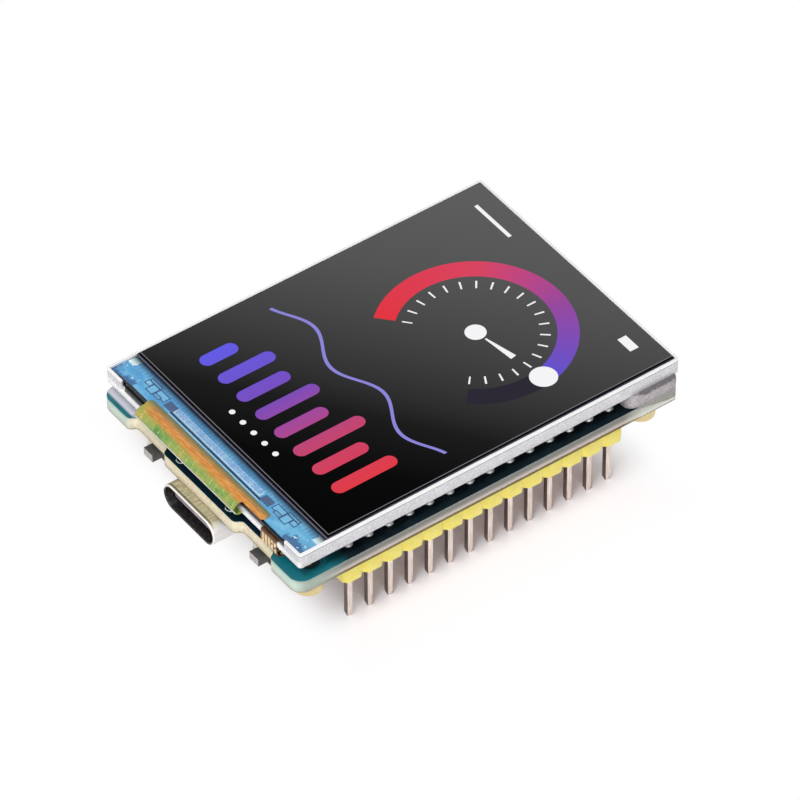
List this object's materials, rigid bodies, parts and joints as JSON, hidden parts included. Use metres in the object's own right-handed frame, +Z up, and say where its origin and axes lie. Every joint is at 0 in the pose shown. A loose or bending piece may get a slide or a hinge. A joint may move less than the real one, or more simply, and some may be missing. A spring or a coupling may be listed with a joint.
{
  "type": "display development board",
  "caption": "Colour display module on foam tape above a circuit board with edge header pins, a reversible power and data socket, side push buttons and threaded corner nuts.",
  "frame": {"origin": "under the middle of the assembly, level with the pin tips", "axes": "+X along the short side, +Y from the socket end to the far end, +Z up out of the screen"},
  "size_m": [0.0348, 0.0498, 0.0138],
  "materials": {
    "solder_mask": "teal solder mask on glass-fibre laminate",
    "yellow_plastic": "moulded, satin",
    "pin_metal": "plated, warm grey",
    "solder": "bright tin solder",
    "nut_brass": "turned, bright",
    "socket_steel": "nickel plated",
    "socket_plastic": "moulded",
    "gold_contacts": "gold plated",
    "switch_plastic": "moulded",
    "switch_steel": "stamped",
    "plunger_plastic": "moulded",
    "tinned_metal": "tinned",
    "chip_resin": "moulded resin",
    "crystal_can": "lidded can",
    "antenna_ceramic": "sintered",
    "capacitor_ceramic": "sintered",
    "resistor_glaze": "glazed",
    "led_resin": "cast resin",
    "battery_nylon": "moulded",
    "card_plastic": "moulded",
    "card_steel": "stamped",
    "grey_foam": "cut foam tape",
    "tray_steel": "bright stamped sheet",
    "white_plastic": "moulded",
    "reflector": "white mirror film",
    "guide_acrylic": "clear acrylic",
    "diffuser_film": "frosted film",
    "amber_film": "polyimide film",
    "black_tape": "light-blocking tape",
    "polarizer_film": "film",
    "ledge_glass": "thin glass with tracks",
    "filter_glass": "thin glass with dark mask",
    "screen_film": "glossy polarizer over the lit picture",
    "driver_silicon": "bare silicon",
    "display_flex": "polyimide film, amber at the bond and green over the fold",
    "tail_flex": "polyimide film with gilt stripes"
  },
  "bodies": {
    "board": {"circuit_board": "solder_mask", "header_strip_left": "yellow_plastic", "header_strip_right": "yellow_plastic", "header_pins_left": "pin_metal", "header_pins_right": "pin_metal", "header_solder": "solder", "threaded_nuts": "nut_brass", "usb_shell": "socket_steel", "usb_insulator": "socket_plastic", "usb_contacts": "gold_contacts", "boot_switch_base": "switch_plastic", "boot_switch_cover": "switch_steel", "reset_switch_base": "switch_plastic", "reset_switch_cover": "switch_steel", "switch_domes": "switch_steel", "switch_terminals": "tinned_metal", "microcontroller": "chip_resin", "flash_memory": "chip_resin", "crystal": "crystal_can", "motion_sensor": "chip_resin", "voltage_regulator": "chip_resin", "charger_chip": "chip_resin", "chip_leads": "tinned_metal", "chip_antenna": "antenna_ceramic", "ceramic_capacitors": "capacitor_ceramic", "chip_resistors": "resistor_glaze", "chip_end_caps": "tinned_metal", "indicator_leds": "led_resin", "battery_socket": "battery_nylon", "battery_socket_pins": "tinned_metal", "card_slot_base": "card_plastic", "card_slot_shell": "card_steel", "card_slot_contacts": "gold_contacts", "far_foam_tape": "grey_foam", "middle_foam_tape": "grey_foam", "metal_tray": "tray_steel", "backlight_frame": "white_plastic", "reflector_film": "reflector", "light_guide": "guide_acrylic", "optical_films": "diffuser_film", "led_flex": "amber_film", "backlight_leds": "led_resin", "rim_tape": "black_tape", "rear_polarizer": "polarizer_film", "tft_glass": "ledge_glass", "filter_glass": "filter_glass", "front_polarizer": "screen_film", "driver_chip": "driver_silicon", "display_flex": "display_flex", "backlight_tail": "tail_flex"},
    "boot_button": {"boot_plunger": "plunger_plastic"},
    "reset_button": {"reset_plunger": "plunger_plastic"}
  },
  "joints": [
    {"name": "boot_press", "type": "slide", "parent": "board", "child": "boot_button", "axis": [0, 1, 0], "range_m": [0, 0.00025], "stiffness_N_per_m": 6000},
    {"name": "reset_press", "type": "slide", "parent": "board", "child": "reset_button", "axis": [0, 1, 0], "range_m": [0, 0.00025], "stiffness_N_per_m": 6000}
  ]
}
